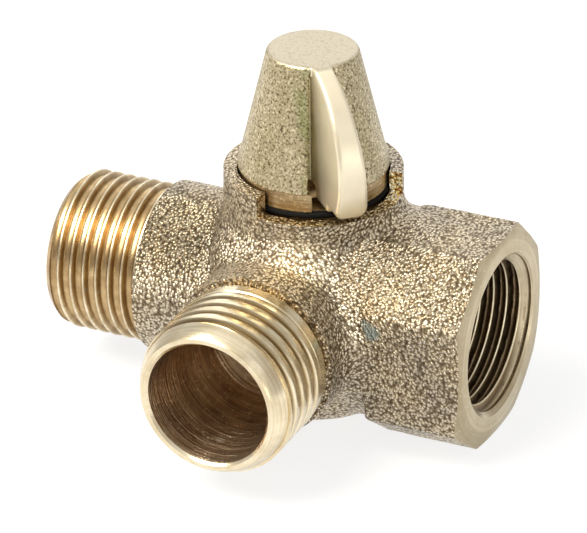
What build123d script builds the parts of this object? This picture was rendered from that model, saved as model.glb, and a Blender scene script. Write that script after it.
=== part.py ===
# Three-way bypass valve: a cast body with two male ports and one female port, and an
# L-port plug turned through a quarter by a cone-shaped handle with a disc-shaped pointer.
# Millimetres, +Z up along the stem. The origin lies on the run axis, where the wall of the
# female thread begins behind its countersink, and +X points out of the female port.
from build123d import *
from math import asin, cos, degrees, hypot, radians, sin, sqrt, tan
import os

# Pipe thread G 1/2, the same on all three ports
thread_major = 20.955
thread_pitch = 1.814
thread_depth = 0.640327 * thread_pitch

# Collar round the stem: most other sizes across and up the valve follow from it
collar_diameter = 23.0
collar_wall = 1.75
collar_foot_rise = 1.2
collar_foot_round = 3.0
collar_rim_drop = 0.5

# Cast barrel, and the three round necks that cross it, each a step thinner
barrel_step = 2.3
barrel_bottom_margin = 0.4
barrel_bottom_round = 8.0
barrel_shoulder_drop = 4.5
barrel_shoulder_round = 6.0
left_neck_step = 2.5
front_neck_step = 2.9
right_neck_step = 0.2
shoulder_round_share = 0.6
cast_round = 2.5

# Ports: reach beyond the barrel, threads and bores
left_reach_beyond = 20.2
front_reach_beyond = 17.8
right_reach_beyond = 12.2
left_thread_length = 13.4
front_thread_length = 13.6
male_wall = 2.3275
male_chamfer = 0.9
bore_edge_break = 0.3
mouth_step = 0.2225
bore_end_web = 1.9

# Octagonal end of the female port, its flats a step away from the round neck
octagon_side_step = 0.4
octagon_top_step = 0.35
octagon_bottom_step = 0.1
octagon_flat_half = 6.1
octagon_upper_corner = 6.4
octagon_lower_corner = 8.4
octagon_overlap = 1.1
octagon_edge_round = 0.8
turned_face_width = 1.8
turned_chamfer_angle = 15.0

# Cutaway of the collar, which stops the pointer
cutaway_depth = 2.8
stop_clearance = 0.15
quarter_travel = 45.0

# Plug, its head and its square stem
plug_step = 0.45
plug_clearance = 0.05
plug_foot = 2.1
port_narrowing = 0.4
ledge_rise = 2.1
head_gap = 0.35
head_lip = 0.7
head_rise = 2.1
head_thickness = 2.4
stem_square = 7.0
stem_length = 10.6
stem_chamfer = 0.6
rest_angle = -45.0

# Seals, retaining wire and thrust washer
seal_groove_drop = 4.3
seal_groove_depth = 1.45
seal_groove_width = 1.8
seal_gap = 0.03
dust_ring_section = 0.85
wire_diameter = 1.2
wire_depth = 1.5
wire_bite = 0.5
wire_gap = 0.05
wire_opening = 16.0
washer_thickness = 0.6
washer_bore = 6.0
washer_edge_gap = 0.3
face_gap = 0.02

# Port seats and the rubber rings behind them
seat_land = 0.1615
seat_wall = 1.25
seat_stand = 1.6
backing_step = 0.15
backing_bore_step = 0.2
backing_thickness = 1.0
pocket_clearance = 0.05

# Handle: cone, grooves beside the pointer, and the pointer
handle_overhang = 0.3
handle_top_diameter = 11.6
handle_height = 15.9
handle_top_round = 0.5
socket_clearance = 0.05
socket_headroom = 0.3
groove_inset = 0.8
groove_foot_gap = 1.85
groove_top_gap = 0.2
pointer_foot_width = 4.3
pointer_top_width = 2.5
pointer_lean = 0.9
pointer_root_depth = 1.3
pointer_foot_gap = 0.7
pointer_foot_overhang = 2.03
pointer_overhang = 3.7
pointer_widest_rise = 4.35
pointer_edge_round = 0.4
pointer_tip_round = 1.2
key_clearance = 1.3

# Grub screw in the back of the handle
screw_diameter = 4.0
screw_length = 4.2
screw_clearance = 0.02
screw_rise = 4.4
screw_hex = 2.0
screw_hex_depth = 1.6

# Radii round the stem and the necks, worked out from the collar
collar_radius = collar_diameter / 2
collar_bore = collar_radius - collar_wall
barrel_radius = collar_radius + barrel_step
left_neck = barrel_radius - left_neck_step
front_neck = barrel_radius - front_neck_step
right_neck = barrel_radius - right_neck_step
plug_radius = collar_bore - plug_step
cavity_radius = plug_radius + plug_clearance
head_radius = collar_bore - head_gap
plug_neck = head_radius - head_lip
handle_foot = head_radius + handle_overhang
handle_rim = handle_top_diameter / 2
groove_floor = handle_rim - groove_inset
wire_radius = wire_diameter / 2
wire_groove_half = wire_radius + wire_gap
seal_section = seal_groove_depth + plug_clearance - 2 * seal_gap
seal_groove_floor = plug_radius - seal_groove_depth

# Heights along the stem, from the run axis upwards
collar_foot = left_neck + collar_foot_rise
barrel_shoulder = collar_foot - barrel_shoulder_drop
barrel_bottom = right_neck + barrel_bottom_margin
ledge_height = collar_foot + ledge_rise
wire_height = ledge_height - wire_depth
seal_groove_height = wire_height - seal_groove_drop
plug_bottom = seal_groove_height + plug_foot
cavity_floor = plug_bottom + washer_thickness + 2 * face_gap
head_bottom = ledge_height + head_rise
head_top = head_bottom + head_thickness
collar_top = head_top - collar_rim_drop
cutaway_floor = collar_top - cutaway_depth
pointer_bottom = head_bottom + pointer_foot_gap
pointer_widest = head_top + pointer_widest_rise
screw_height = head_top + screw_rise
handle_top = head_top + handle_height

# Radii and reaches of the ports: neighbouring seats just clear each other in the cavity
seat_radius = cavity_radius / sqrt(2) - seat_land
seat_bore = seat_radius - seat_wall
plug_port = seat_bore - port_narrowing / 2
pocket_radius = seat_radius + pocket_clearance
seat_end = plug_radius + seat_stand
backing_end = seat_end + backing_thickness
bore_end = backing_end + bore_end_web
thread_radius = thread_major / 2
thread_root = thread_radius - thread_depth
male_bore = thread_radius - male_wall
female_mouth = thread_radius + mouth_step
countersink_depth = female_mouth - thread_root
left_reach = barrel_radius + left_reach_beyond
front_reach = barrel_radius + front_reach_beyond
right_reach = barrel_radius + right_reach_beyond
octagon_side = right_neck - octagon_side_step
octagon_top = right_neck - octagon_top_step
octagon_bottom = right_neck + octagon_bottom_step
octagon_start = barrel_radius - octagon_overlap
turned_face = female_mouth + turned_face_width

# Places and directions, with the stem axis set by the female port
stem_x = countersink_depth - right_reach
slot_half = pointer_foot_width / 2 + key_clearance
groove_foot_half = pointer_foot_width / 2 + groove_foot_gap
groove_top_half = pointer_top_width / 2 + groove_top_gap
key_reach = groove_floor + key_clearance
back_angle = rest_angle + 180
port_angles = {"left": 180.0, "front": -90.0, "right": 0.0}
stem_axis = Axis((stem_x, 0, 0), (0, 0, 1))


# Upright plane through the stem axis: local x runs outwards at the angle, local y up
def outward(angle):
    a = radians(angle)
    return Plane(origin=(stem_x, 0, 0), x_dir=(cos(a), sin(a), 0), z_dir=(sin(a), -cos(a), 0))


# Upright plane square to the angle, at a distance from the stem axis, facing outwards
def across(angle, reach):
    a = radians(angle)
    origin = (stem_x + reach * cos(a), reach * sin(a), 0)
    return Plane(origin=origin, x_dir=(-sin(a), cos(a), 0), z_dir=(cos(a), sin(a), 0))


# Level plane with its centre on the stem axis and local x along the pointer at rest
def level(height):
    a = radians(rest_angle)
    return Plane(origin=(stem_x, 0, height), x_dir=(cos(a), sin(a), 0), z_dir=(0, 0, 1))


def port_axis(angle):
    a = radians(angle)
    return Axis((stem_x, 0, 0), (cos(a), sin(a), 0))


def corner(sketch, x, y):
    return sketch.vertices().sort_by_distance((x, y))[0]


# Cast and machined body, one piece
with BuildPart() as valve_body:
    # Barrel round the plug, drawn in to the collar round the stem
    with BuildSketch(outward(0)) as barrel:
        with BuildLine():
            Polyline(
                (0, -barrel_bottom),
                (barrel_radius, -barrel_bottom),
                (barrel_radius, barrel_shoulder),
                (collar_radius, collar_foot),
                (collar_radius, collar_top),
                (0, collar_top),
                close=True,
            )
        make_face()
        fillet(corner(barrel, barrel_radius, -barrel_bottom), barrel_bottom_round)
        fillet(corner(barrel, barrel_radius, barrel_shoulder), barrel_shoulder_round)
        fillet(corner(barrel, collar_radius, collar_foot), collar_foot_round)
    revolve(axis=stem_axis)

    # Male ports: cast neck with a rounded shoulder, then the threaded end
    for side, reach, thread_length, neck in (
        ("left", left_reach, left_thread_length, left_neck),
        ("front", front_reach, front_thread_length, front_neck),
    ):
        start = reach - thread_length
        with BuildSketch(outward(port_angles[side])) as port:
            with BuildLine():
                Polyline(
                    (0, 0),
                    (0, neck),
                    (start, neck),
                    (start, thread_radius),
                    (reach - male_chamfer, thread_radius),
                    (reach, thread_radius - male_chamfer),
                    (reach, 0),
                    close=True,
                )
            make_face()
            fillet(corner(port, start, neck), shoulder_round_share * abs(neck - thread_radius))
        revolve(axis=port_axis(port_angles[side]))

    # Female port: round neck, then an octagon with a turned chamfer round its face
    with BuildSketch(across(port_angles["right"], 0)):
        Circle(right_neck)
    extrude(amount=octagon_start)
    fillet(valve_body.edges().filter_by(GeomType.BSPLINE), cast_round)
    with BuildSketch(across(port_angles["right"], right_reach)) as octagon:
        with BuildLine():
            Polyline(
                (-octagon_flat_half, octagon_top),
                (octagon_flat_half, octagon_top),
                (octagon_side, octagon_upper_corner),
                (octagon_side, -octagon_lower_corner),
                (octagon_flat_half, -octagon_bottom),
                (-octagon_flat_half, -octagon_bottom),
                (-octagon_side, -octagon_lower_corner),
                (-octagon_side, octagon_upper_corner),
                close=True,
            )
        make_face()
        fillet(octagon.vertices(), octagon_edge_round)
    extrude(amount=octagon_start - right_reach)
    chamfer_reach = hypot(octagon_side, octagon_bottom)
    chamfer_depth = (chamfer_reach - turned_face) * tan(radians(turned_chamfer_angle))
    with BuildSketch(outward(port_angles["right"])):
        with BuildLine():
            Polyline(
                (right_reach, turned_face),
                (right_reach, chamfer_reach),
                (right_reach - chamfer_depth, chamfer_reach),
                close=True,
            )
        make_face()
    revolve(axis=port_axis(port_angles["right"]), mode=Mode.SUBTRACT)

    # Cavity of the plug with the groove of the retaining wire, and the bore of the collar
    with BuildSketch(outward(0)):
        with BuildLine():
            Polyline(
                (0, -cavity_floor),
                (cavity_radius, -cavity_floor),
                (cavity_radius, wire_height - wire_groove_half),
                (cavity_radius + wire_bite, wire_height - wire_groove_half),
                (cavity_radius + wire_bite, wire_height + wire_groove_half),
                (cavity_radius, wire_height + wire_groove_half),
                (cavity_radius, ledge_height),
                (collar_bore, ledge_height),
                (collar_bore, collar_top),
                (0, collar_top),
                close=True,
            )
        make_face()
    revolve(axis=stem_axis, mode=Mode.SUBTRACT)

    # Bores of the three ports: seat pocket, waterway, then the wide bore and its edge
    for side, reach, bore, edge in (
        ("left", left_reach, male_bore, bore_edge_break),
        ("front", front_reach, male_bore, bore_edge_break),
        ("right", right_reach, thread_root, countersink_depth),
    ):
        with BuildSketch(outward(port_angles[side])):
            with BuildLine():
                Polyline(
                    (0, 0),
                    (0, pocket_radius),
                    (backing_end + face_gap, pocket_radius),
                    (backing_end + face_gap, seat_bore),
                    (bore_end, seat_bore),
                    (bore_end, bore),
                    (reach - edge, bore),
                    (reach, bore + edge),
                    (reach, 0),
                    close=True,
                )
            make_face()
        revolve(axis=port_axis(port_angles[side]), mode=Mode.SUBTRACT)

    # Cutaway of the collar: the pointer turns in it and stops against its two ends
    pointer_half_angle = degrees(asin((pointer_foot_width / 2 + stop_clearance) / collar_bore))
    stop_angle = radians(quarter_travel + pointer_half_angle)
    with BuildSketch(level(cutaway_floor)):
        with BuildLine():
            Polyline(
                (0, 0),
                (collar_diameter * cos(stop_angle), -collar_diameter * sin(stop_angle)),
                (collar_diameter, 0),
                (collar_diameter * cos(stop_angle), collar_diameter * sin(stop_angle)),
                close=True,
            )
        make_face()
    extrude(amount=collar_top - cutaway_floor, mode=Mode.SUBTRACT)
valve_body.part.label = "valve_body"

# Plug with its seal grooves, two crossing ports, slotted head and square stem
with BuildPart() as rotor_plug:
    groove_half = seal_groove_width / 2
    wire_groove_floor = plug_radius - wire_diameter - wire_gap
    with BuildSketch(outward(rest_angle)):
        with BuildLine():
            Polyline(
                (0, -plug_bottom),
                (plug_radius, -plug_bottom),
                (plug_radius, -seal_groove_height - groove_half),
                (seal_groove_floor, -seal_groove_height - groove_half),
                (seal_groove_floor, -seal_groove_height + groove_half),
                (plug_radius, -seal_groove_height + groove_half),
                (plug_radius, seal_groove_height - groove_half),
                (seal_groove_floor, seal_groove_height - groove_half),
                (seal_groove_floor, seal_groove_height + groove_half),
                (plug_radius, seal_groove_height + groove_half),
                (plug_radius, wire_height - wire_groove_half),
                (wire_groove_floor, wire_height - wire_groove_half),
                (wire_groove_floor, wire_height + wire_groove_half),
                (plug_radius, wire_height + wire_groove_half),
                (plug_radius, ledge_height),
                (plug_neck, ledge_height),
                (plug_neck, head_bottom),
                (head_radius, head_bottom),
                (head_radius, head_top),
                (0, head_top),
                close=True,
            )
        make_face()
    revolve(axis=stem_axis)
    for turn in (0.0, -90.0):
        with BuildSketch(across(rest_angle + turn, 0)):
            Circle(plug_port)
        extrude(amount=2 * plug_radius, mode=Mode.SUBTRACT)
    with Locations((stem_x, 0, 0)):
        Sphere(plug_port, mode=Mode.SUBTRACT)
    with BuildSketch(level(head_bottom)):
        with Locations((groove_floor + head_radius, 0)):
            Rectangle(2 * head_radius, 2 * slot_half)
    extrude(amount=head_top - head_bottom, mode=Mode.SUBTRACT)
    with BuildSketch(level(head_top)):
        Rectangle(stem_square, stem_square)
    extrude(amount=stem_length)
    chamfer(rotor_plug.faces().sort_by(Axis.Z)[-1].edges(), stem_chamfer)
rotor_plug.part.label = "rotor_plug"

# Pointer: a disc-shaped blade, thicker at its foot, whose foot hangs in the slot of the head
with BuildPart() as pointer:
    pointer_reach = collar_radius + pointer_overhang
    foot_reach = collar_radius + pointer_foot_overhang
    pointer_root = groove_floor - pointer_root_depth
    with BuildSketch(outward(rest_angle)) as blade:
        with BuildLine():
            ThreePointArc(
                (handle_rim, handle_top),
                (pointer_reach, pointer_widest),
                (foot_reach, pointer_bottom),
            )
            Polyline(
                (foot_reach, pointer_bottom),
                (key_reach, pointer_bottom),
                (key_reach, head_top),
                (pointer_root, head_top),
                (pointer_root, handle_top),
                (handle_rim, handle_top),
            )
        make_face()
        fillet(corner(blade, foot_reach, pointer_bottom), pointer_tip_round)
    extrude(amount=pointer_foot_width, both=True)
    with BuildSketch(across(rest_angle, 0)):
        with BuildLine():
            Polyline(
                (-pointer_foot_width / 2, pointer_bottom),
                (pointer_foot_width / 2, pointer_bottom),
                (pointer_top_width / 2 - pointer_lean, handle_top),
                (-pointer_top_width / 2 - pointer_lean, handle_top),
                close=True,
            )
        make_face()
    extrude(amount=2 * pointer_reach, mode=Mode.INTERSECT)
    strip = pointer.faces().filter_by(GeomType.CYLINDER).sort_by(SortBy.AREA)[-1]
    fillet(strip.edges().sort_by(SortBy.LENGTH)[-2:], pointer_edge_round)

# Handle: cone on the square stem, with a groove cut beside the pointer on either hand
with BuildPart() as handle:
    with BuildSketch(outward(rest_angle)) as cone:
        with BuildLine():
            Polyline(
                (0, head_top),
                (handle_foot, head_top),
                (handle_rim, handle_top),
                (0, handle_top),
                close=True,
            )
        make_face()
        fillet(corner(cone, handle_rim, handle_top), handle_top_round)
    revolve(axis=stem_axis)
    with BuildSketch(across(rest_angle, groove_floor)):
        with BuildLine():
            Polyline(
                (-groove_foot_half, head_top),
                (groove_foot_half, head_top),
                (groove_top_half - pointer_lean, handle_top),
                (-groove_top_half - pointer_lean, handle_top),
                close=True,
            )
        make_face()
    extrude(amount=handle_foot, mode=Mode.SUBTRACT)
    add(pointer.part)
    with BuildSketch(level(head_top)):
        Rectangle(stem_square + 2 * socket_clearance, stem_square + 2 * socket_clearance)
    extrude(amount=stem_length + socket_headroom, mode=Mode.SUBTRACT)
    with BuildSketch(across(back_angle, stem_square / 2)):
        with Locations((0, screw_height)):
            Circle(screw_diameter / 2 + screw_clearance)
    extrude(amount=handle_foot, mode=Mode.SUBTRACT)
handle.part.label = "handle"

# Grub screw that pinches the square stem from the back of the handle
with BuildPart() as grub_screw:
    with BuildSketch(across(back_angle, stem_square / 2 + face_gap)):
        with Locations((0, screw_height)):
            Circle(screw_diameter / 2)
    extrude(amount=screw_length)
    with BuildSketch(across(back_angle, stem_square / 2 + face_gap + screw_length)):
        with Locations((0, screw_height)):
            RegularPolygon(screw_hex / 2, 6, major_radius=False)
    extrude(amount=-screw_hex_depth, mode=Mode.SUBTRACT)
grub_screw.part.label = "grub_screw"

# Round-section rings: two seals on the plug and the dust ring under its head
rings = {
    "upper_seal": (seal_groove_floor + seal_gap, seal_groove_height, seal_section),
    "lower_seal": (seal_groove_floor + seal_gap, -seal_groove_height, seal_section),
    "dust_ring": (
        plug_neck + seal_gap,
        head_bottom - seal_gap - dust_ring_section / 2,
        dust_ring_section,
    ),
}
ring_parts = []
for name, (inner, height, section) in rings.items():
    with BuildPart() as ring:
        with BuildSketch(outward(0)):
            with Locations((inner + section / 2, height)):
                Circle(section / 2)
        revolve(axis=stem_axis)
    ring.part.label = name
    ring_parts.append(ring.part)

# Split wire ring, sprung into the groove of the body, that holds the plug down
with BuildPart() as retaining_wire:
    wire_centre = cavity_radius + wire_bite - wire_gap - wire_radius
    with BuildSketch(outward(rest_angle)):
        with Locations((wire_centre, wire_height)):
            Circle(wire_radius)
    revolve(axis=stem_axis, revolution_arc=360 - wire_opening)
retaining_wire.part.label = "retaining_wire"

# Washer under the plug
with BuildPart() as thrust_washer:
    with BuildSketch(level(-cavity_floor + face_gap)):
        Circle(plug_radius - washer_edge_gap)
        Circle(washer_bore / 2, mode=Mode.SUBTRACT)
    extrude(amount=washer_thickness)
thrust_washer.part.label = "thrust_washer"

# A saddle-faced seat and a rubber ring behind it at each port
seat_parts = []
for side, angle in port_angles.items():
    with BuildPart() as seat:
        with BuildSketch(across(angle, 0)):
            Circle(seat_radius)
            Circle(seat_bore, mode=Mode.SUBTRACT)
        extrude(amount=seat_end)
        with BuildSketch(level(-seat_radius)):
            Circle(cavity_radius)
        extrude(amount=2 * seat_radius, mode=Mode.SUBTRACT)
    seat.part.label = side + "_seat"
    with BuildPart() as backing:
        with BuildSketch(across(angle, seat_end + face_gap)):
            Circle(seat_radius - backing_step)
            Circle(seat_bore + backing_bore_step, mode=Mode.SUBTRACT)
        extrude(amount=backing_end - seat_end - face_gap)
    backing.part.label = side + "_backing_ring"
    seat_parts += [seat.part, backing.part]

os.makedirs("parts", exist_ok=True)
fixed_parts = [valve_body.part, retaining_wire.part, thrust_washer.part]
turning_parts = [rotor_plug.part, handle.part, grub_screw.part]
for part in fixed_parts + turning_parts + ring_parts + seat_parts:
    export_step(part, "parts/" + part.label + ".step")
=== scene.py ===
# Bypass valve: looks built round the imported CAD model.
# Sizes are in millimetres, taken from the point where the stem axis crosses the run axis.
import bpy
import math
from mathutils import Matrix, Vector


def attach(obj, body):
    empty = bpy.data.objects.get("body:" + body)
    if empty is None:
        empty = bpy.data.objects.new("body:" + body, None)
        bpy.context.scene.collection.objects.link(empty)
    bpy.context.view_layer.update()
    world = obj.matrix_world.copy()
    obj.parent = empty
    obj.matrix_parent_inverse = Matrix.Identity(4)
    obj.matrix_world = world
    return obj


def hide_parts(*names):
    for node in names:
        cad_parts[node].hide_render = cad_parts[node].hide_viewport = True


print("loading the packed frame")
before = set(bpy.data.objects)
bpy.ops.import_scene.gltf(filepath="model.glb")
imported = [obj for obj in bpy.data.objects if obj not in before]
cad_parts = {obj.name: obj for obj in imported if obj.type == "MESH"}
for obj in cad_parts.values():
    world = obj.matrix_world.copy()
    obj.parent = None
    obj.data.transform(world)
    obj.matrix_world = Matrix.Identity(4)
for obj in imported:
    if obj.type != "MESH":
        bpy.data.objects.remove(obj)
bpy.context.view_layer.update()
mm = 0.001
stemX = -24.616      # stem axis in the row frame
for name in ("Cube", "Light", "Camera"):     # what a new Blender file starts with
    if name in bpy.data.objects:
        bpy.data.objects.remove(bpy.data.objects[name])
portAngle = {"right": 0.0, "left": 180.0, "front": -90.0}
pointerAngle = -45.0
# the way the pointer stands out from the stem, and the way across it
along = (math.cos(math.radians(pointerAngle)), math.sin(math.radians(pointerAngle)), 0)
across = (-along[1], along[0], 0)


def letGo():
    if bpy.context.object and bpy.context.object.mode != "OBJECT":
        bpy.ops.object.mode_set(mode="OBJECT")
    bpy.ops.object.select_all(action="DESELECT")


def pick(piece):
    letGo()
    piece.select_set(True)
    bpy.context.view_layer.objects.active = piece


def editAll(piece):
    pick(piece)
    bpy.ops.object.mode_set(mode="EDIT")
    bpy.context.tool_settings.mesh_select_mode = (True, False, False)
    bpy.ops.mesh.select_all(action="SELECT")


def addModifier(piece, name, kind, **settings):
    pick(piece)
    modifier = piece.modifiers.new(name, kind)
    for key, value in settings.items():
        setattr(modifier, key, value)
    bpy.ops.object.modifier_apply(modifier=modifier.name)


# a chain of points drawn by extruding one vertex, radius along X and height along Z
def drawChain(name, points):
    letGo()
    bpy.ops.mesh.primitive_plane_add(size=mm, location=(0, 0, 0))
    piece = bpy.context.object
    piece.name = name
    piece.data.name = name
    editAll(piece)
    bpy.ops.mesh.merge(type="CENTER")
    bpy.ops.transform.translate(value=(points[0][0] * mm, 0, points[0][1] * mm))
    for here, there in zip(points, points[1:]):
        step = ((there[0] - here[0]) * mm, 0, (there[1] - here[1]) * mm)
        bpy.ops.mesh.extrude_region_move(TRANSFORM_OT_translate={"value": step})
    bpy.ops.object.mode_set(mode="OBJECT")
    return piece


def spinRound(piece, steps, rise=0.0, turns=1):
    addModifier(piece, "Spin", "SCREW", axis="Z", angle=math.tau, steps=steps, render_steps=steps,
                screw_offset=rise * mm, iterations=turns, use_merge_vertices=True,
                merge_threshold=0.001 * mm, use_normal_calculate=True)
    editAll(piece)
    bpy.ops.mesh.remove_doubles(threshold=0.001 * mm)
    bpy.ops.mesh.normals_make_consistent(inside=False)
    bpy.ops.object.mode_set(mode="OBJECT")
    return piece


# a turned shape about Z: a solid when it starts and ends on the axis, else a ring
def turned(name, points, steps=96):
    if points[0][0] > 0:
        points = points + points[:1]
    return spinRound(drawChain(name, points), steps)


# from upright at the origin to a port's axis, or to the stem when no port is given
def seat(piece, port=None, turn=0.0):
    pick(piece)
    piece.location = (stemX * mm, 0, 0)
    if port:
        piece.rotation_euler = (0, math.radians(90), math.radians(portAngle[port]))
    else:
        piece.rotation_euler = (0, 0, math.radians(turn))
    bpy.ops.object.transform_apply(location=True, rotation=True, scale=True)
    return piece


def cut(piece, tool, operation="DIFFERENCE"):
    addModifier(piece, "Cut", "BOOLEAN", object=tool, operation=operation, solver="MANIFOLD",
                material_mode="TRANSFER")
    bpy.data.objects.remove(tool)


def copyOf(node, name):
    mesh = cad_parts[node].data.copy()
    mesh.name = name
    piece = bpy.data.objects.new(name, mesh)
    bpy.context.scene.collection.objects.link(piece)
    editAll(piece)
    bpy.ops.mesh.remove_doubles(threshold=0.0005 * mm)
    bpy.ops.object.mode_set(mode="OBJECT")
    return piece


def smoothBy(piece, angle):
    pick(piece)
    bpy.ops.object.shade_smooth_by_angle(angle=math.radians(angle))


def setFinish(piece, *materials):
    piece.data.materials.clear()
    for material in materials:
        piece.data.materials.append(material)


def newGroup(name, inputs, outputs):
    group = bpy.data.node_groups.new(name, "ShaderNodeTree")
    for label, kind, value in inputs:
        socket = group.interface.new_socket(label, in_out="INPUT", socket_type=kind)
        if value is not None:
            socket.default_value = value
    for label, kind in outputs:
        group.interface.new_socket(label, in_out="OUTPUT", socket_type=kind)
    return group, group.nodes.new("NodeGroupInput"), group.nodes.new("NodeGroupOutput")


def mathNode(tree, operation, first, second=None):
    node = tree.nodes.new("ShaderNodeMath")
    node.operation = operation
    for index, value in enumerate((first, second)):
        if value is None:
            continue
        if isinstance(value, (int, float)):
            node.inputs[index].default_value = value
        else:
            tree.links.new(value, node.inputs[index])
    return node.outputs[0]


def rampNode(tree, factor, stops):
    node = tree.nodes.new("ShaderNodeValToRGB")
    tree.links.new(factor, node.inputs["Fac"])
    elements = node.color_ramp.elements
    while len(elements) < len(stops):
        elements.new(0.5)
    for element, (position, colour) in zip(elements, stops):
        element.position = position
        element.color = (*colour, 1.0)
    return node.outputs["Color"]


def noiseNode(tree, vector, scale, detail=2.0, roughness=0.5, distortion=0.0):
    node = tree.nodes.new("ShaderNodeTexNoise")
    tree.links.new(vector, node.inputs["Vector"])
    node.inputs["Detail"].default_value = detail
    node.inputs["Roughness"].default_value = roughness
    node.inputs["Distortion"].default_value = distortion
    if isinstance(scale, (int, float)):
        node.inputs["Scale"].default_value = scale
    else:
        tree.links.new(scale, node.inputs["Scale"])
    return node.outputs["Fac"]


def mixColour(tree, factor, first, second, blend="MIX"):
    node = tree.nodes.new("ShaderNodeMix")
    node.data_type = "RGBA"
    node.blend_type = blend
    for socket, value in ((node.inputs[0], factor), (node.inputs[6], first), (node.inputs[7], second)):
        if isinstance(value, (int, float)):
            socket.default_value = value
        elif isinstance(value, (tuple, list)):
            socket.default_value = (*value, 1.0)
        else:
            tree.links.new(value, socket)
    return node.outputs[2]


noiseEnds = (0.3, 0.7)     # noise seldom leaves this range, so most tones run between these ends
sandPattern = {"grainScale": 2300.0, "toneScale": 120.0, "randomness": 0.92, "roughScale": 1.15,
               "lumpScale": 0.32, "roughHeight": 0.35, "lumpHeight": 0.25, "domeShade": 0.75,
               "roughShade": 0.50}
lathePattern = {"ringScale": 4000.0, "toneScale": 260.0, "wobbleScale": 90.0, "wobble": 1.2,
                "fleckScale": 2600.0, "toneRange": (0.35, 0.65), "fleckRange": (0.60, 0.72), "leadFade": 0.15}


# grains of moulding sand: pits between rounded grains, and a slow change of tone
def makeSandGroup():
    pattern = sandPattern
    group, entry, leave = newGroup(
        "sandGrain",
        [("Vector", "NodeSocketVector", None), ("Grain Scale", "NodeSocketFloat", pattern["grainScale"]),
         ("Tone Scale", "NodeSocketFloat", pattern["toneScale"])],
        [("Height", "NodeSocketFloat"), ("Grain", "NodeSocketFloat"), ("Tone", "NodeSocketFloat")])
    vector = entry.outputs["Vector"]
    grain = entry.outputs["Grain Scale"]
    cells = group.nodes.new("ShaderNodeTexVoronoi")
    cells.feature = "F1"
    cells.inputs["Randomness"].default_value = pattern["randomness"]
    group.links.new(vector, cells.inputs["Vector"])
    group.links.new(grain, cells.inputs["Scale"])
    rough = noiseNode(group, vector, mathNode(group, "MULTIPLY", grain, pattern["roughScale"]),
                      roughness=0.6, distortion=0.4)
    lumps = noiseNode(group, vector, mathNode(group, "MULTIPLY", grain, pattern["lumpScale"]))
    domes = mathNode(group, "SUBTRACT", 1.0, cells.outputs["Distance"])
    height = mathNode(group, "ADD", domes, mathNode(group, "MULTIPLY", rough, pattern["roughHeight"]))
    height = mathNode(group, "ADD", height, mathNode(group, "MULTIPLY", lumps, pattern["lumpHeight"]))
    group.links.new(height, leave.inputs["Height"])
    shade = mathNode(group, "ADD", mathNode(group, "MULTIPLY", domes, pattern["domeShade"]),
                     mathNode(group, "MULTIPLY", rough, pattern["roughShade"]))
    group.links.new(shade, leave.inputs["Grain"])
    tone = noiseNode(group, vector, entry.outputs["Tone Scale"], roughness=0.55)
    group.links.new(tone, leave.inputs["Tone"])
    return group


# marks of a lathe tool: fine rings about the mapped Z axis, with the radius and height in millimetres
def makeLatheGroup():
    pattern = lathePattern
    group, entry, leave = newGroup(
        "latheRings",
        [("Vector", "NodeSocketVector", None), ("Ring Scale", "NodeSocketFloat", pattern["ringScale"]),
         ("Tone Scale", "NodeSocketFloat", pattern["toneScale"])],
        [("Streak", "NodeSocketFloat"), ("Tone", "NodeSocketFloat"), ("Fleck", "NodeSocketFloat"),
         ("Radius", "NodeSocketFloat"), ("Along", "NodeSocketFloat")])
    split = group.nodes.new("ShaderNodeSeparateXYZ")
    group.links.new(entry.outputs["Vector"], split.inputs[0])
    square = mathNode(group, "ADD", mathNode(group, "MULTIPLY", split.outputs[0], split.outputs[0]),
                      mathNode(group, "MULTIPLY", split.outputs[1], split.outputs[1]))
    radius = mathNode(group, "SQRT", square)
    join = group.nodes.new("ShaderNodeCombineXYZ")
    group.links.new(radius, join.inputs[0])
    group.links.new(split.outputs[2], join.inputs[1])
    # the rings are broken up a little round the turn, as real tool marks are
    shift = noiseNode(group, entry.outputs["Vector"], pattern["wobbleScale"], detail=1.0)
    group.links.new(mathNode(group, "MULTIPLY", shift, pattern["wobble"] * mm), join.inputs[2])
    rings = noiseNode(group, join.outputs[0], entry.outputs["Ring Scale"], detail=3.0, roughness=0.65)
    wander = noiseNode(group, entry.outputs["Vector"], entry.outputs["Tone Scale"], detail=3.0, roughness=0.6)
    fleck = noiseNode(group, entry.outputs["Vector"], pattern["fleckScale"], roughness=0.6)
    group.links.new(rings, leave.inputs["Streak"])
    group.links.new(wander, leave.inputs["Tone"])
    group.links.new(fleck, leave.inputs["Fleck"])
    group.links.new(mathNode(group, "DIVIDE", radius, mm), leave.inputs["Radius"])
    group.links.new(mathNode(group, "DIVIDE", split.outputs[2], mm), leave.inputs["Along"])
    return group


sandGroup = makeSandGroup()
latheGroup = makeLatheGroup()


def newMaterial(name, metallic, roughness):
    material = bpy.data.materials.new(name)
    material.use_nodes = True
    tree = material.node_tree
    shader = tree.nodes["Principled BSDF"]
    shader.inputs["Metallic"].default_value = metallic
    shader.inputs["Roughness"].default_value = roughness
    place = tree.nodes.new("ShaderNodeTexCoord").outputs["Object"]
    return material, tree, shader, place


def useGroup(tree, group, vector, **values):
    node = tree.nodes.new("ShaderNodeGroup")
    node.node_tree = group
    tree.links.new(vector, node.inputs["Vector"])
    for label, value in values.items():
        node.inputs[label.replace("_", " ")].default_value = value
    return node


def bumpInto(tree, shader, height, strength, distance):
    node = tree.nodes.new("ShaderNodeBump")
    node.inputs["Strength"].default_value = strength
    node.inputs["Distance"].default_value = distance * mm
    tree.links.new(height, node.inputs["Height"])
    tree.links.new(node.outputs["Normal"], shader.inputs["Normal"])


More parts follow.
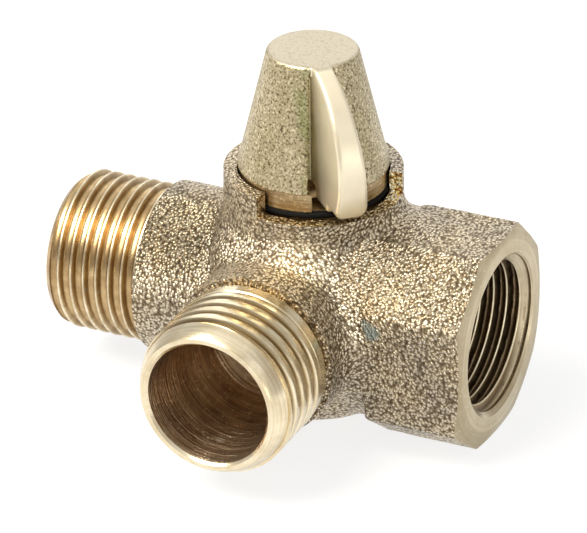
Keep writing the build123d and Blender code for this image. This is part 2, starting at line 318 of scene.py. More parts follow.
# a Mapping node that puts the pattern's Z along a port or the stem
def alongAxis(tree, place, port=None):
    node = tree.nodes.new("ShaderNodeMapping")
    node.vector_type = "TEXTURE"
    node.inputs["Location"].default_value = (stemX * mm, 0, 0)
    if port:
        node.inputs["Rotation"].default_value = (0, math.radians(90), math.radians(portAngle[port]))
    tree.links.new(place, node.inputs["Vector"])
    return node.outputs["Vector"]


def spread(tree, value, low, high, least=0.0, most=1.0, kind="LINEAR"):
    node = tree.nodes.new("ShaderNodeMapRange")
    node.interpolation_type = kind
    for label, number in (("From Min", low), ("From Max", high), ("To Min", least), ("To Max", most)):
        node.inputs[label].default_value = number
    tree.links.new(value, node.inputs["Value"])
    return node.outputs[0]


# how much a spot covers a point: most of all in its core, which is a share of its reach, and nothing past it
def nearSpot(tree, place, spot, reach, core, most):
    gap = tree.nodes.new("ShaderNodeVectorMath")
    gap.operation = "DISTANCE"
    tree.links.new(place, gap.inputs[0])
    gap.inputs[1].default_value = ((stemX + spot[0]) * mm, spot[1] * mm, spot[2] * mm)
    return spread(tree, gap.outputs["Value"], core * reach * mm, reach * mm, most, 0.0, "SMOOTHSTEP")


# painted light: shades paint shade or a highlight over a broad place, and stains lay a colour on a small one
def stainsAndPaintedLight(tree, place, colour, look):
    for spot, reach, tone in look.get("paintedLight", []):
        cover = nearSpot(tree, place, spot, reach, core=0.45, most=1.0)
        colour = mixColour(tree, cover, colour, tone, "MULTIPLY")
    for spot, reach in look.get("stains", []):
        cover = nearSpot(tree, place, spot, reach, core=0.35, most=0.75)
        colour = mixColour(tree, cover, colour, look["stain"])
    return colour


def sandMaterial(name, look):
    material, tree, shader, place = newMaterial(name, look["metallic"], look["roughness"][0])
    sand = useGroup(tree, sandGroup, place, Grain_Scale=look["grainScale"], Tone_Scale=look["toneScale"])
    low, high = look["grainRange"]
    # the grain ramp paints shade into the pits and a highlight onto the grain tops, over the skin's own
    # colour
    colour = rampNode(tree, sand.outputs["Grain"],
                      [(low, look["pitShade"]), ((low + high) / 2, look["skin"]), (high, look["peakHighlight"])])
    shade = rampNode(tree, sand.outputs["Tone"], list(zip(noiseEnds, (look["toneA"], look["toneB"]))))
    colour = mixColour(tree, 1.0, colour, shade, "MULTIPLY")
    tree.links.new(stainsAndPaintedLight(tree, place, colour, look), shader.inputs["Base Color"])
    rough = spread(tree, sand.outputs["Grain"], low, high, *look["roughness"])
    tree.links.new(rough, shader.inputs["Roughness"])
    bumpInto(tree, shader, sand.outputs["Height"], strength=1.0, distance=look["depth"])
    return material


# turned brass: ring streaks, a slow tone, small flecks, and where the look has them
# bands by radius, which on threads paint shade into the roots and a highlight onto the crests, and a plain
# lead past one height
def latheMaterial(name, look, port=None):
    material, tree, shader, place = newMaterial(name, look["metallic"], look["roughness"][0])
    rings = useGroup(tree, latheGroup, alongAxis(tree, place, port), Ring_Scale=look["ringScale"],
                     Tone_Scale=look["toneScale"])
    colour = rampNode(tree, rings.outputs["Streak"], list(zip(noiseEnds, (look["dark"], look["light"]))))
    if "bands" in look:
        base = rampNode(tree, spread(tree, rings.outputs["Radius"], *look["bandRadii"]), look["bands"])
        if "leadStart" in look:
            past = spread(tree, rings.outputs["Along"], look["leadStart"] - lathePattern["leadFade"],
                          look["leadStart"] + lathePattern["leadFade"])
            base = mixColour(tree, past, base, look["lead"])
        colour = mixColour(tree, 1.0, base, colour, "MULTIPLY")
    shade = rampNode(tree, rings.outputs["Tone"],
                     list(zip(lathePattern["toneRange"], (look["toneA"], look["toneB"]))))
    colour = mixColour(tree, look["toneMix"], colour, shade, "MULTIPLY")
    fleck = spread(tree, rings.outputs["Fleck"], *lathePattern["fleckRange"], 0.0, look["flecks"])
    colour = mixColour(tree, fleck, colour, look["fleck"])
    tree.links.new(stainsAndPaintedLight(tree, place, colour, look), shader.inputs["Base Color"])
    rough = spread(tree, rings.outputs["Tone"], *noiseEnds, look["roughness"][1], look["roughness"][0])
    tree.links.new(rough, shader.inputs["Roughness"])
    bumpInto(tree, shader, rings.outputs["Streak"], look["bump"], look["depth"])
    return material


# the distance in millimetres along a direction
def axisOffset(tree, place, direction):
    node = tree.nodes.new("ShaderNodeVectorMath")
    node.operation = "DOT_PRODUCT"
    tree.links.new(place, node.inputs[0])
    node.inputs[1].default_value = tuple(part / mm for part in direction)
    return node.outputs["Value"]


# the handle: dense fine specks on the cone, smooth on the pointer and on the top
def handleMaterial(name, look):
    material, tree, shader, place = newMaterial(name, look["metallic"], look["roughness"])
    centred = alongAxis(tree, place)
    out = axisOffset(tree, centred, along)
    height = axisOffset(tree, centred, (0, 0, 1))
    foot, top = look["pointerHeights"]
    # the pointer leans to one side as it rises
    middle = spread(tree, height, foot, top, 0.0, -look["lean"])
    offset = mathNode(tree, "SUBTRACT", axisOffset(tree, centred, across), middle)
    half = spread(tree, height, foot, top, *look["halfWidths"])
    inside = mathNode(tree, "SUBTRACT", half, mathNode(tree, "ABSOLUTE", offset))
    onPointer = mathNode(tree, "MULTIPLY", spread(tree, inside, *look["edgeFade"]),
                         spread(tree, out, *look["rootFade"]))
    onTop = spread(tree, height, *look["topFade"])
    smooth = mathNode(tree, "MAXIMUM", onPointer, onTop)
    sand = useGroup(tree, sandGroup, place, Grain_Scale=look["grainScale"], Tone_Scale=look["toneScale"])
    speck = noiseNode(tree, place, look["speckScale"], roughness=0.65)
    rough = rampNode(tree, speck, look["specks"])
    # faint streaks run up the cone, and a greener painted shade and reflection lies along one side of the
    # pointer
    stretch = tree.nodes.new("ShaderNodeVectorMath")
    stretch.operation = "MULTIPLY"
    stretch.inputs[1].default_value = (1.0, 1.0, look["streakStretch"])
    tree.links.new(centred, stretch.inputs[0])
    streak = noiseNode(tree, stretch.outputs[0], look["streakScale"], roughness=0.6)
    rough = mixColour(tree, 1.0, rough, rampNode(tree, streak, look["streaks"]), "MULTIPLY")
    reach, fade = look["pointerShadeReach"]
    beside = spread(tree, mathNode(tree, "ADD", offset, half), -reach, fade - reach)
    for cover in (spread(tree, offset, *look["pointerShadeSide"], 1.0, 0.0),
                  spread(tree, out, *look["pointerShadeOut"]),
                  spread(tree, sand.outputs["Tone"], *look["pointerShadePatches"])):
        beside = mathNode(tree, "MULTIPLY", beside, cover)
    rough = mixColour(tree, beside, rough, look["pointerShade"], "MULTIPLY")
    plain = rampNode(tree, sand.outputs["Tone"], list(zip(noiseEnds, look["smooth"])))
    plain = mixColour(tree, onTop, plain, rampNode(tree, speck, look["top"]))
    tree.links.new(mixColour(tree, smooth, rough, plain), shader.inputs["Base Color"])
    tree.links.new(spread(tree, smooth, 0, 1, look["roughness"], look["smoothRoughness"]),
                   shader.inputs["Roughness"])
    grainHeight = mathNode(tree, "MULTIPLY", sand.outputs["Height"],
                           spread(tree, smooth, 0, 1, 1.0, look["smoothGrain"]))
    bumpInto(tree, shader, grainHeight, look["bump"], look["depth"])
    return material


# one colour that darkens a little in small specks
def plainMaterial(name, colour, metallic, roughness, grain, gloss=0.5, darkest=0.8):
    material, tree, shader, place = newMaterial(name, metallic, roughness)
    speck = noiseNode(tree, place, grain, detail=3.0, roughness=0.6)
    darker = tuple(darkest * part for part in colour)
    tree.links.new(rampNode(tree, speck, list(zip(noiseEnds, (darker, colour)))), shader.inputs["Base Color"])
    shader.inputs["Specular IOR Level"].default_value = gloss
    bumpInto(tree, shader, speck, strength=0.2, distance=0.03)
    return material


print("mixing the finishes")
# places of painted shades and highlights, and of stains, are X, Y and Z with a reach, and bands run from one
# radius to another
castSkin = sandMaterial("castSkin", {
    "metallic": 1.0, "roughness": (0.50, 0.27), "grainScale": 2500.0, "toneScale": 150.0,
    "grainRange": (0.38, 0.80), "pitShade": (0.165, 0.125, 0.08), "skin": (0.385, 0.325, 0.232),
    "peakHighlight": (0.96, 0.87, 0.70), "toneA": (0.76, 0.75, 0.75), "toneB": (1.0, 0.95, 0.86), "depth": 0.24,
    # painted shade on the left neck and low on the front right, and painted highlights between the collar and
    # the front port and high on the front right
    "paintedLight": [((-16.5, -6.0, 9.0), 9.0, (0.64, 0.62, 0.57)), ((2.5, -10.0, 9.0), 6.5, (1.60, 1.60, 1.58)),
               ((19.0, -9.5, 9.5), 7.0, (1.10, 1.10, 1.08)), ((19.0, -14.0, -3.0), 11.0, (0.86, 0.85, 0.84))],
    "stains": [((13.9, -13.1, 4.1), 1.6), ((13.0, -12.8, 5.0), 1.0)], "stain": (0.27, 0.34, 0.33)})
leftGold = latheMaterial("leftGold", {
    "metallic": 1.0, "roughness": (0.24, 0.38), "ringScale": 3500.0, "toneScale": 420.0,
    # the bands paint shade into the thread roots and a highlight onto the crests, over the brass's own colour
    "bandRadii": (9.62, 10.46), "bands": [
        (0.0, (0.66, 0.49, 0.27)), (0.12, (0.60, 0.44, 0.235)), (0.25, (0.42, 0.30, 0.155)),
        (0.60, (0.54, 0.39, 0.21)), (0.82, (0.70, 0.55, 0.34)), (0.91, (0.99, 0.90, 0.69))],
    "dark": (0.78, 0.75, 0.70), "light": (1, 1, 1), "toneA": (0.66, 0.60, 0.53), "toneB": (1, 1, 1),
    "toneMix": 0.9, "flecks": 0.4, "fleck": (0.22, 0.17, 0.11), "bump": 0.3, "depth": 0.04,
    "stains": [((-27.5, -10.2, -0.4), 0.5), ((-25.7, -10.2, -0.4), 0.5), ((-23.8, -10.1, 1.1), 0.5)],
    "stain": (0.30, 0.42, 0.46)}, "left")
frontGold = latheMaterial("frontGold", {
    "metallic": 1.0, "roughness": (0.17, 0.28), "ringScale": 3200.0, "toneScale": 300.0,
    # the bands paint shade into the thread roots and a highlight onto the crests, over the brass's own colour
    "bandRadii": (9.35, 10.46), "bands": [
        (0.0, (0.34, 0.25, 0.14)), (0.40, (0.42, 0.32, 0.18)), (0.72, (0.58, 0.47, 0.30)),
        (0.86, (0.97, 0.88, 0.67))], "leadStart": 28.95, "lead": (0.95, 0.85, 0.64),
    "dark": (0.76, 0.72, 0.65), "light": (1, 1, 1), "toneA": (0.80, 0.76, 0.70), "toneB": (1, 1, 1),
    "toneMix": 0.9, "flecks": 0.2, "fleck": (0.50, 0.40, 0.24), "bump": 0.3, "depth": 0.03}, "front")
boreLook = {
    "metallic": 0.95, "roughness": (0.24, 0.40), "ringScale": 3600.0, "toneScale": 170.0,
    "dark": (0.40, 0.22, 0.11), "light": (1.0, 0.86, 0.62), "toneA": (0.46, 0.38, 0.34), "toneB": (1, 1, 1),
    "toneMix": 0.95, "flecks": 0.9, "fleck": (1.0, 0.88, 0.68), "bump": 1.0, "depth": 0.20,
    "stain": (1.0, 0.94, 0.78)}
# a few chips lie in the front bore
frontBore = latheMaterial("frontBore", {**boreLook, "stains": [
    ((-1.0, -25.9, -8.1), 0.75), ((-3.3, -26.0, -7.5), 0.3), ((-2.4, -26.6, -7.8), 0.32),
    ((-3.6, -27.5, -7.3), 0.25), ((-0.6, -18.2, -8.1), 0.3), ((2.9, -24.0, -7.6), 0.35),
    ((1.6, -30.7, -8.0), 0.35)]}, "front")
leftBore = latheMaterial("leftBore", boreLook, "left")
portGold = {"left": leftGold, "front": frontGold}
portBore = {"left": leftBore, "front": frontBore}
rightFace = latheMaterial("rightFace", {
    "metallic": 1.0, "roughness": (0.34, 0.46), "ringScale": 2500.0, "toneScale": 200.0,
    "bandRadii": (12.3, 12.7), "bands": [(0.0, (0.66, 0.575, 0.41)), (1.0, (0.52, 0.445, 0.30))],
    "dark": (0.80, 0.77, 0.70), "light": (1, 1, 1), "toneA": (0.88, 0.86, 0.82), "toneB": (1, 1, 1),
    "toneMix": 0.8, "flecks": 0.3, "fleck": (0.94, 0.88, 0.72), "bump": 0.25, "depth": 0.03}, "right")
rightThread = latheMaterial("rightThread", {
    "metallic": 1.0, "roughness": (0.26, 0.38), "ringScale": 3500.0, "toneScale": 300.0,
    # the bands paint a highlight onto the thread crests and shade into the roots, over the brass's own colour
    "bandRadii": (9.30, 10.46), "bands": [
        (0.0, (0.98, 0.92, 0.74)), (0.09, (0.92, 0.82, 0.60)), (0.18, (0.34, 0.245, 0.14)),
        (0.70, (0.15, 0.11, 0.07)), (1.0, (0.30, 0.225, 0.14))],
    "leadStart": 24.7, "lead": (0.66, 0.575, 0.41),
    "dark": (0.80, 0.78, 0.74), "light": (1, 1, 1), "toneA": (0.80, 0.76, 0.72), "toneB": (1, 1, 1),
    "toneMix": 0.8, "flecks": 0.25, "fleck": (0.80, 0.60, 0.36), "bump": 0.3, "depth": 0.03}, "right")
collarCut = sandMaterial("collarCut", {
    "metallic": 1.0, "roughness": (0.50, 0.28), "grainScale": 2300.0, "toneScale": 300.0,
    "grainRange": (0.40, 0.80), "pitShade": (0.10, 0.055, 0.025), "skin": (0.52, 0.375, 0.19),
    "peakHighlight": (0.95, 0.84, 0.56), "toneA": (0.70, 0.64, 0.56), "toneB": (1, 1, 1), "depth": 0.22,
    # a painted highlight on the cutaway's end wall
    "paintedLight": [((10.9, 1.6, 17.3), 3.4, (2.6, 2.5, 2.3))]})
plugGold = latheMaterial("plugGold", {
    "metallic": 1.0, "roughness": (0.28, 0.42), "ringScale": 2600.0, "toneScale": 300.0,
    "dark": (0.34, 0.24, 0.12), "light": (0.72, 0.56, 0.33), "toneA": (0.55, 0.50, 0.44), "toneB": (1, 1, 1),
    "toneMix": 0.9, "flecks": 0.7, "fleck": (0.98, 0.86, 0.60), "bump": 1.0, "depth": 0.12})
handleSkin = handleMaterial("handleSkin", {
    "metallic": 0.86, "roughness": 0.40, "grainScale": 3300.0, "toneScale": 260.0, "speckScale": 3300.0,
    "specks": [(0.36, (0.14, 0.105, 0.055)), (0.45, (0.55, 0.47, 0.305)), (0.56, (0.55, 0.47, 0.305)),
               (0.66, (0.93, 0.84, 0.62))],
    "streakScale": 420.0, "streakStretch": 0.12, "streaks": [(0.35, (0.80, 0.79, 0.72)), (0.65, (1, 1, 1))],
    "smooth": ((0.82, 0.735, 0.55), (0.90, 0.82, 0.63)), "smoothRoughness": 0.40, "smoothGrain": 0.08,
    "top": [(0.34, (0.42, 0.37, 0.275)), (0.50, (0.54, 0.485, 0.37))],
    # the painted shade beside the pointer: reach and fade across, then where it starts beside the pointer,
    # out from the stem and in patches
    "pointerShade": (0.70, 0.80, 0.64), "pointerShadeReach": (2.6, 1.2), "pointerShadeSide": (-1.2, -1.0),
    "pointerShadeOut": (2.0, 3.0), "pointerShadePatches": (0.36, 0.54),
    # the pointer from its foot to its top, and how its smooth faces meet the cone
    "pointerHeights": (17.4, 35.0), "halfWidths": (2.30, 1.38), "lean": 0.9, "edgeFade": (-0.04, 0.06),
    "rootFade": (4.9, 5.1), "topFade": (34.78, 34.92), "bump": 0.5, "depth": 0.06})
blackRubber = plainMaterial("blackRubber", (0.010, 0.010, 0.010), 0.0, 0.85, 1500.0, gloss=0.12)
whiteSeat = plainMaterial("whiteSeat", (0.84, 0.83, 0.79), 0.0, 0.42, 900.0)
greySteel = plainMaterial("greySteel", (0.46, 0.46, 0.47), 1.0, 0.36, 1800.0)

threads = {
    # a rod starts so many turns before crestAt, with its crest at half the form
    "steps": 96, "turnsBefore": 3.375, "crestShare": 0.5,
    # crestAt is where a crest passes the upper front side, 45 degrees from the top
    # a form goes once along the pitch: the share of the pitch, and the height from root to crest
    "left": {"pitch": 1.814, "crest": 10.4775, "root": 9.62, "start": 20.5, "end": 34.0, "crestAt": 21.05,
             "form": [(0.0, 0.0), (0.14, 0.01), (0.22, 0.08), (0.30, 0.28), (0.40, 0.84), (0.44, 0.97),
                      (0.50, 1.0), (0.56, 0.97), (0.60, 0.84), (0.70, 0.28), (0.78, 0.08), (0.86, 0.01),
                      (1.0, 0.0)]},
    "front": {"pitch": 2.08, "crest": 10.4775, "root": 9.35, "start": 20.6, "end": 29.1, "crestAt": 21.12,
              "form": [(0.0, 0.0), (0.05, 0.03), (0.09, 0.14), (0.20, 0.84), (0.24, 0.95), (0.34, 0.99),
                       (0.50, 1.0), (0.66, 0.99), (0.76, 0.95), (0.80, 0.84), (0.91, 0.14), (0.95, 0.03),
                       (1.0, 0.0)]},
    "right": {"pitch": 1.814, "crest": 10.4775, "root": 9.316, "start": 13.8, "end": 26.5, "crestAt": 14.83,
              "form": [(0.0, 0.0), (0.03, 0.02), (0.08, 0.12), (0.30, 0.90), (0.38, 0.985), (0.50, 1.0),
                       (0.62, 0.985), (0.70, 0.90), (0.92, 0.12), (0.97, 0.02), (1.0, 0.0)]}}


# a form wound up about Z, and cut flat at both ends
def threadedRod(name, port):
    thread = threads[port]
    base = thread["crestAt"] - (threads["turnsBefore"] + threads["crestShare"]) * thread["pitch"]
    depth = thread["crest"] - thread["root"]
    points = [(thread["root"] + depth * rise, base + share * thread["pitch"])
              for share, rise in thread["form"]]
    rod = drawChain(name, points)
    turns = math.ceil((thread["end"] - base) / thread["pitch"]) + 1
    spinRound(rod, threads["steps"], rise=thread["pitch"], turns=turns)
    for height, side in ((thread["start"], "clear_inner"), (thread["end"], "clear_outer")):
        editAll(rod)
        bpy.ops.mesh.bisect(plane_co=(0, 0, height * mm), plane_no=(0, 0, 1), use_fill=True,
                            threshold=0.0001 * mm, **{side: True})
        bpy.ops.object.mode_set(mode="OBJECT")
    editAll(rod)
    bpy.ops.mesh.normals_make_consistent(inside=False)
    bpy.ops.object.mode_set(mode="OBJECT")
    return rod


casting = {
    "voxel": 0.36, "softening": 0.5, "softTurns": 3, "smoothAngle": 32,
    "unevenness": 0.14, "unevenSize": 3.0, "unevenDepth": 2, "unevenLevel": 0.85,
    # cylinders that fill the machined places or thicken a neck: name, port, radius, start and end
    "fillers": [
        ("fillLeft", "left", 8.25, 0, 33.5), ("fillFront", "front", 8.25, 0, 31.1),
        ("fillRight", "right", 11.1, 0, 25.6), ("fillStem", None, 11.48, 11.0, 19.4),
        ("fillCavity", None, 9.55, -11.8, 15.0), ("neckLeft", "left", 11.28, 15.0, 22.0),
        ("neckFront", "front", 10.88, 14.0, 19.6)],
    # the cone that the octagon rises from, and the stretch where it is blended in
    "cone": [(0, 6.0), (13.7, 6.0), (13.7, 9.5), (13.0, 18.5), (0, 18.5)], "coneRise": 0.55,
    "shoulder": (9.0, 16.5), "shoulderSoftening": 0.6, "shoulderTurns": 10,
    # the octagon's end past this place is drawn out, so that the face is cut into it
    "spareFrom": 25.0, "spare": 0.8,
    "reach": {"left": 34.0, "front": 31.6, "right": 26.0}, "neckEnd": {"left": 20.6, "front": 18.0},
    "clearRadius": 15.0, "clearEnd": 36.0,
    # turned shapes of the male ports: the left lead, the band by the front neck, and the front lead
    "leftLead": [(9.2275, 34.01), (13, 34.01), (13, 32.5), (10.4975, 32.5)],
    "frontBand": [(0, 17.9), (10.0, 17.9), (10.02, 18.75), (10.36, 18.95), (10.40, 20.45), (10.15, 20.75),
                  (0, 20.75)],
    "frontLead": [(0, 28.8), (9.6, 28.8), (10.15, 29.1), (9.95, 30.0), (9.30, 31.3), (9.05, 31.6), (0, 31.6)],
    "boreStart": 8.0, "boreEnd": 13.8, "seatBore": 5.2, "maleBore": 8.15, "borePast": 0.5,
    "bevel": 0.3, "bevelDepth": 1.0, "pocketStart": 7.0, "pocketEnd": 11.92, "pocketRadius": 6.5,
    "mouthRadius": 10.7, "countersink": 1.384, "mouthPast": 2.0,
    "faceRadius": 12.5, "faceOuter": 18.0, "faceSlope": 15.0, "facePast": 3.0,
    "cavityRadius": 9.35, "cavityFloor": -11.54, "groove": (12.45, 13.75), "grooveDepth": 0.5,
    "collarFloor": 14.6, "collarBore": 9.75, "collarTop": 18.6, "collarPast": 21.0,
    "facingRadius": 14.0, "facingEnd": 22.0,
    # the cutaway that the pointer travels in: half its angle, its length, and its nose in shares of that
    "cutawayHalf": 58.65, "cutawayFar": 16.0, "cutawayNose": (1.3, 0.5), "cutawayFloor": 15.8,
    "cutawayHeight": 5.0}


# the outline of a plain cylinder
def bar(radius, start, end):
    return [(0, start), (radius, start), (radius, end), (0, end)]


# a turned tool on a port's axis, or on the stem's, leaves its own finish where it cuts or fills
def machine(body, name, points, port, finish, steps=96, operation="DIFFERENCE"):
    tool = seat(turned(name, points, steps), port)
    setFinish(tool, finish)
    cut(body, tool, operation)


def roughCasting():
    size = casting
    body = copyOf("valve_body", "valveCasting")
    setFinish(body, castSkin)
    # the machined places are filled out first, so that the cuts go into an uneven skin
    for name, port, radius, start, end in size["fillers"]:
        machine(body, name, bar(radius, start, end), port, castSkin, steps=64, operation="UNION")
    cone = seat(turned("cone", size["cone"]), "right")
    bpy.ops.transform.translate(value=(0, 0, size["coneRise"] * mm))
    setFinish(cone, castSkin)
    cut(body, cone, "UNION")
    for vertex in body.data.vertices:
        if vertex.co.x > (stemX + size["spareFrom"]) * mm:
            vertex.co.x += size["spare"] * mm
    addModifier(body, "Grow", "REMESH", mode="VOXEL", voxel_size=size["voxel"] * mm, adaptivity=0.0)
    addModifier(body, "Soften", "SMOOTH", factor=size["softening"], iterations=size["softTurns"])
    clouds = bpy.data.textures.new("castUneven", "CLOUDS")
    clouds.noise_scale = size["unevenSize"] * mm
    clouds.noise_depth = size["unevenDepth"]
    addModifier(body, "Uneven", "DISPLACE", texture=clouds, texture_coords="LOCAL",
                mid_level=size["unevenLevel"], strength=size["unevenness"] * mm)
    low, high = size["shoulder"]
    shoulder = body.vertex_groups.new(name="shoulder")
    shoulder.add([vertex.index for vertex in body.data.vertices
                  if low < vertex.co.x / mm - stemX < high], 1.0, "REPLACE")
    addModifier(body, "Blend", "SMOOTH", factor=size["shoulderSoftening"], iterations=size["shoulderTurns"],
                vertex_group="shoulder")
    return body


def cutMalePorts(body):
    size = casting
    rods = {"left": threadedRod("rodLeft", "left"), "front": threadedRod("rodFront", "front")}
    for port, rod in rods.items():
        setFinish(rod, portGold[port])
    for port, outline, steps, operation in (("left", "leftLead", 96, "DIFFERENCE"),
                                            ("front", "frontBand", 128, "UNION"),
                                            ("front", "frontLead", 128, "UNION")):
        plain = turned(outline, size[outline], steps)
        setFinish(plain, portGold[port])
        cut(rods[port], plain, operation)
    for port, rod in rods.items():
        # everything past the neck comes off, and the threaded end goes on
        machine(body, "clear", bar(size["clearRadius"], size["neckEnd"][port], size["clearEnd"]), port,
                castSkin, steps=64)
        seat(rod, port)
        cut(body, rod, "UNION")
        past = size["reach"][port] + size["borePast"]
        machine(body, "bore", [(0, size["boreStart"]), (size["seatBore"], size["boreStart"]),
                               (size["seatBore"], size["boreEnd"]), (size["maleBore"], size["boreEnd"]),
                               (size["maleBore"], past), (0, past)], port, portBore[port])
        deep = size["reach"][port] - size["bevelDepth"]
        bevelled = size["maleBore"] + size["bevel"]
        machine(body, "bevel", [(0, deep), (bevelled - size["bevelDepth"], deep),
                                (bevelled + size["borePast"], past), (0, past)], port, portGold[port])


def cutFemalePort(body):
    size = casting
    reach = size["reach"]["right"]
    root = threads["right"]["root"]
    tap = seat(threadedRod("tap", "right"), "right")
    setFinish(tap, rightThread)
    cut(body, tap)
    past = reach + size["mouthPast"]
    machine(body, "mouth", [(0, size["boreStart"]), (size["seatBore"], size["boreStart"]),
                            (size["seatBore"], size["boreEnd"]), (root, size["boreEnd"]),
                            (root, reach - size["countersink"]), (size["mouthRadius"], reach),
                            (size["mouthRadius"], past), (0, past)], "right", rightThread)
    back = (size["faceOuter"] - size["faceRadius"]) * math.tan(math.radians(size["faceSlope"]))
    past = reach + size["facePast"]
    machine(body, "face", [(0, reach), (size["faceRadius"], reach), (size["faceOuter"], reach - back),
                           (size["faceOuter"], past), (0, past)], "right", rightFace, steps=128)


def cutCollar(body):
    size = casting
    for port in ("left", "front", "right"):
        machine(body, "pocket", bar(size["pocketRadius"], size["pocketStart"], size["pocketEnd"]), port,
                collarCut, steps=64)
    low, high = size["groove"]
    radius, grooved = size["cavityRadius"], size["cavityRadius"] + size["grooveDepth"]
    past = size["collarPast"]
    machine(body, "cavity", [(0, size["cavityFloor"]), (radius, size["cavityFloor"]), (radius, low),
                             (grooved, low), (grooved, high), (radius, high), (radius, size["collarFloor"]),
                             (size["collarBore"], size["collarFloor"]), (size["collarBore"], past),
                             (0, past)], None, collarCut, steps=128)
    machine(body, "facing", bar(size["facingRadius"], size["collarTop"], size["facingEnd"]), None, castSkin)

    # the cutaway is a wedge from the stem, as wide as the pointer's travel and its two stops
    far = size["cutawayFar"]
    half = math.radians(size["cutawayHalf"])
    noseX, noseY = size["cutawayNose"]
    corners = [(0, 0), (math.cos(half), -math.sin(half)), (noseX, -noseY), (noseX, noseY),
               (math.cos(half), math.sin(half))]
    letGo()
    bpy.ops.mesh.primitive_circle_add(vertices=len(corners), radius=far * mm, fill_type="NGON",
                                      location=(0, 0, 0))
    wedge = bpy.context.object
    for vertex, (x, y) in zip(wedge.data.vertices, corners):
        vertex.co = (x * far * mm, y * far * mm, size["cutawayFloor"] * mm)
    editAll(wedge)
    bpy.ops.mesh.extrude_region_move(TRANSFORM_OT_translate={"value": (0, 0, size["cutawayHeight"] * mm)})
    bpy.ops.mesh.select_all(action="SELECT")
    bpy.ops.mesh.normals_make_consistent(inside=False)
    bpy.ops.object.mode_set(mode="OBJECT")
    seat(wedge, turn=pointerAngle)
    setFinish(wedge, collarCut)
    cut(body, wedge)


def makeCasting():
    print("casting: filling and roughening the skin")
    body = roughCasting()
    print("casting: faces", len(body.data.polygons))
    print("casting: cutting threads, faces and bores")
    cutMalePorts(body)
    cutFemalePort(body)
    cutCollar(body)
    smoothBy(body, casting["smoothAngle"])
    print("casting: faces", len(body.data.polygons), "finishes", list(body.data.materials.keys()))
    return body


valveCasting = makeCasting()
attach(valveCasting, "body")
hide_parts("valve_body")

handle = {"voxel": 0.19, "softening": 0.5, "softTurns": 3, "smoothAngle": 60,
          # the pointer's tip narrows from its top down to its bottom
          "tipTop": 19.0, "tipBottom": 17.4, "tipOut": 10.6, "tipRound": 0.72, "tipLimit": 0.98}


# one even skin over the solid, so that its edges are worn soft
def makeHandle():
    piece = copyOf("handle", "handleCone")
    addModifier(piece, "Skin", "REMESH", mode="VOXEL", voxel_size=handle["voxel"] * mm, adaptivity=0.0)
    addModifier(piece, "Wear", "SMOOTH", factor=handle["softening"], iterations=handle["softTurns"])
    smoothBy(piece, handle["smoothAngle"])
    # the pointer's tip is rounded to both sides
    for vertex in piece.data.vertices:
        offset = vertex.co / mm - Vector((stemX, 0, 0))
        if offset.z < handle["tipTop"] and offset.dot(Vector(along)) > handle["tipOut"]:
            depth = (handle["tipTop"] - offset.z) / (handle["tipTop"] - handle["tipBottom"])
            depth = min(depth, handle["tipLimit"])
            pull = offset.dot(Vector(across)) * (math.sqrt(1 - handle["tipRound"] * depth * depth) - 1)
            vertex.co += Vector(across) * pull * mm
    print("handle: faces", len(piece.data.polygons))
    return piece


plug = {"flatAngle": 0.5, "edgeAngle": 32, "break": 0.10, "smoothAngle": 30}


# the solid with its edges broken by a narrow bevel
def makePlug():
    piece = copyOf("rotor_plug", "turnedPlug")
    editAll(piece)
    bpy.ops.mesh.dissolve_limited(angle_limit=math.radians(plug["flatAngle"]))
    bpy.ops.object.mode_set(mode="OBJECT")
    addModifier(piece, "Break", "BEVEL", width=plug["break"] * mm, segments=2, limit_method="ANGLE",
                angle_limit=math.radians(plug["edgeAngle"]), harden_normals=False)
    smoothBy(piece, plug["smoothAngle"])
    return piece


print("handle and plug")
handleCone = makeHandle()
setFinish(handleCone, handleSkin)
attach(handleCone, "plug")
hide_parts("handle")

turnedPlug = makePlug()
setFinish(turnedPlug, plugGold)
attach(turnedPlug, "plug")
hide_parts("rotor_plug")

print("finishes on the other solids")
for node, finish in (
        ("upper_seal", blackRubber), ("lower_seal", blackRubber), ("dust_ring", blackRubber),
        ("left_backing_ring", blackRubber), ("front_backing_ring", blackRubber),
        ("right_backing_ring", blackRubber), ("left_seat", whiteSeat), ("front_seat", whiteSeat),
        ("right_seat", whiteSeat), ("thrust_washer", whiteSeat), ("retaining_wire", greySteel),
        ("grub_screw", greySteel)):
    setFinish(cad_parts[node], finish)

# the floor's size, and the lamps' sizes and distances, are in metres
studio = {
    "floorDrop": 14.05, "floorSize": 3.0, "floorWhite": 0.28, "floorGlow": 0.80, "lampAim": 5.0,
    "skyDiffuse": 0.46, "skyBase": (0.66, 0.66, 0.65),
    # patches of the room that the brass mirrors: azimuth from +Y, elevation, inner and outer reach, colour
    "patches": [(0, 90, 20, 45, (1.0, 0.98, 0.94)), (-20, 26, 21, 30, (1.55, 1.53, 1.50)),
                (-155, -5, 30, 60, (0.28, 0.25, 0.22)), (150, -5, 20, 50, (0.46, 0.43, 0.38)),
                (55, 20, 10, 40, (0.62, 0.59, 0.54))],
    "lamps": {
        "key": {"from": (-0.38, -0.46, 0.80), "distance": 0.50, "width": 0.30, "height": 0.30,
                "power": 3.6, "colour": (1.0, 0.93, 0.82)},
        "side": {"from": (0.898, -0.438, 0.05), "distance": 0.50, "width": 0.10, "height": 0.19,
                 "power": 0.20, "colour": (1.0, 0.97, 0.92)},
        "fill": {"from": (0.75, -0.35, 0.55), "distance": 0.70, "width": 0.40, "height": 0.40,
                 "power": 0.25, "colour": (1.0, 1.0, 1.0)}}}


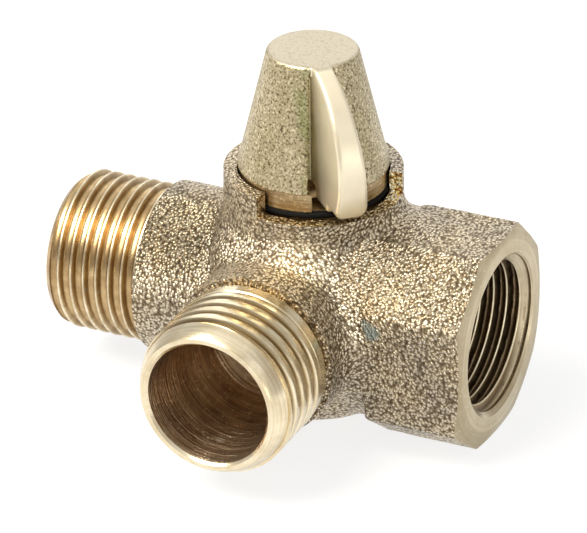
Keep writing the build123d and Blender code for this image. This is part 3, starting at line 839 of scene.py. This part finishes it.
def makeFloor():
    letGo()
    bpy.ops.mesh.primitive_plane_add(size=studio["floorSize"], location=(0, 0, -studio["floorDrop"] * mm))
    floor = bpy.context.object
    floor.name = "floor"
    material, tree, shader, place = newMaterial("floorPaper", metallic=0.0, roughness=0.9)
    shader.inputs["Base Color"].default_value = (studio["floorWhite"],) * 3 + (1.0,)
    shader.inputs["Specular IOR Level"].default_value = 0.0
    path = tree.nodes.new("ShaderNodeLightPath")
    seen = mathNode(tree, "MAXIMUM", path.outputs["Is Camera Ray"], path.outputs["Is Glossy Ray"])
    seen = mathNode(tree, "MAXIMUM", seen, path.outputs["Is Transmission Ray"])
    glow = mathNode(tree, "MULTIPLY", seen, studio["floorGlow"])
    shader.inputs["Emission Color"].default_value = (1, 1, 1, 1)
    tree.links.new(glow, shader.inputs["Emission Strength"])
    setFinish(floor, material)


def makeSky():
    world = bpy.data.worlds.new("studioSky")
    bpy.context.scene.world = world
    world.use_nodes = True
    tree = world.node_tree
    background = tree.nodes["Background"]
    direction = tree.nodes.new("ShaderNodeTexCoord").outputs["Generated"]
    room = studio["skyBase"]
    for azimuth, elevation, inner, outer, colour in studio["patches"]:
        turn, lift = math.radians(azimuth), math.radians(elevation)
        toward = tree.nodes.new("ShaderNodeVectorMath")
        toward.operation = "DOT_PRODUCT"
        tree.links.new(direction, toward.inputs[0])
        toward.inputs[1].default_value = (math.sin(turn) * math.cos(lift), math.cos(turn) * math.cos(lift),
                                          math.sin(lift))
        cover = spread(tree, toward.outputs["Value"], math.cos(math.radians(outer)),
                       math.cos(math.radians(inner)), kind="SMOOTHSTEP")
        room = mixColour(tree, cover, room, colour)
    path = tree.nodes.new("ShaderNodeLightPath")
    seen = mathNode(tree, "MAXIMUM", path.outputs["Is Glossy Ray"], path.outputs["Is Transmission Ray"])
    room = mixColour(tree, seen, (studio["skyDiffuse"],) * 3, room)
    room = mixColour(tree, path.outputs["Is Camera Ray"], room, (1, 1, 1))
    tree.links.new(room, background.inputs["Color"])


def makeLamp(name):
    setting = studio["lamps"][name]
    direction = Vector(setting["from"]).normalized()
    lamp = bpy.data.lights.new(name, "AREA")
    lamp.shape = "RECTANGLE"
    lamp.size = setting["width"]
    lamp.size_y = setting["height"]
    lamp.energy = setting["power"]
    lamp.color = setting["colour"]
    holder = bpy.data.objects.new(name, lamp)
    bpy.context.scene.collection.objects.link(holder)
    holder.location = Vector((stemX * mm, 0, studio["lampAim"] * mm)) + direction * setting["distance"]
    holder.rotation_euler = direction.to_track_quat("Z", "Y").to_euler()


# the camera as it stood for the photograph: turn round the stem, height, roll and aim
view = {"azimuth": 25.382, "elevation": 27.739, "roll": -0.498, "distance": 599.167,
        "aimRight": 2.689, "aimUp": -3.679, "lens": 286.25, "sensor": 36.0, "near": 10.0, "far": 20000.0}


def makeCamera():
    turn = math.radians(view["azimuth"])
    lift = math.radians(view["elevation"])
    roll = math.radians(view["roll"])
    back = Vector((math.sin(turn) * math.cos(lift), -math.cos(turn) * math.cos(lift), math.sin(lift)))
    right = Vector((math.cos(turn), math.sin(turn), 0))
    up = back.cross(right)
    rightRolled = math.cos(roll) * right + math.sin(roll) * up
    upRolled = -math.sin(roll) * right + math.cos(roll) * up
    place = view["distance"] * back - view["aimRight"] * rightRolled - view["aimUp"] * upRolled
    place.x += stemX
    camera = bpy.data.objects.new("photoCamera", bpy.data.cameras.new("photoCamera"))
    bpy.context.scene.collection.objects.link(camera)
    camera.data.lens = view["lens"]
    camera.data.sensor_width = view["sensor"]
    camera.data.clip_start = view["near"] * mm
    camera.data.clip_end = view["far"] * mm
    columns = Matrix((rightRolled, upRolled, back)).transposed()
    camera.matrix_world = Matrix.Translation(place * mm) @ columns.to_4x4()
    bpy.context.scene.camera = camera


print("floor, light and camera")
makeFloor()
makeSky()
for lampName in studio["lamps"]:
    makeLamp(lampName)
makeCamera()
bpy.context.scene.view_settings.view_transform = "Standard"
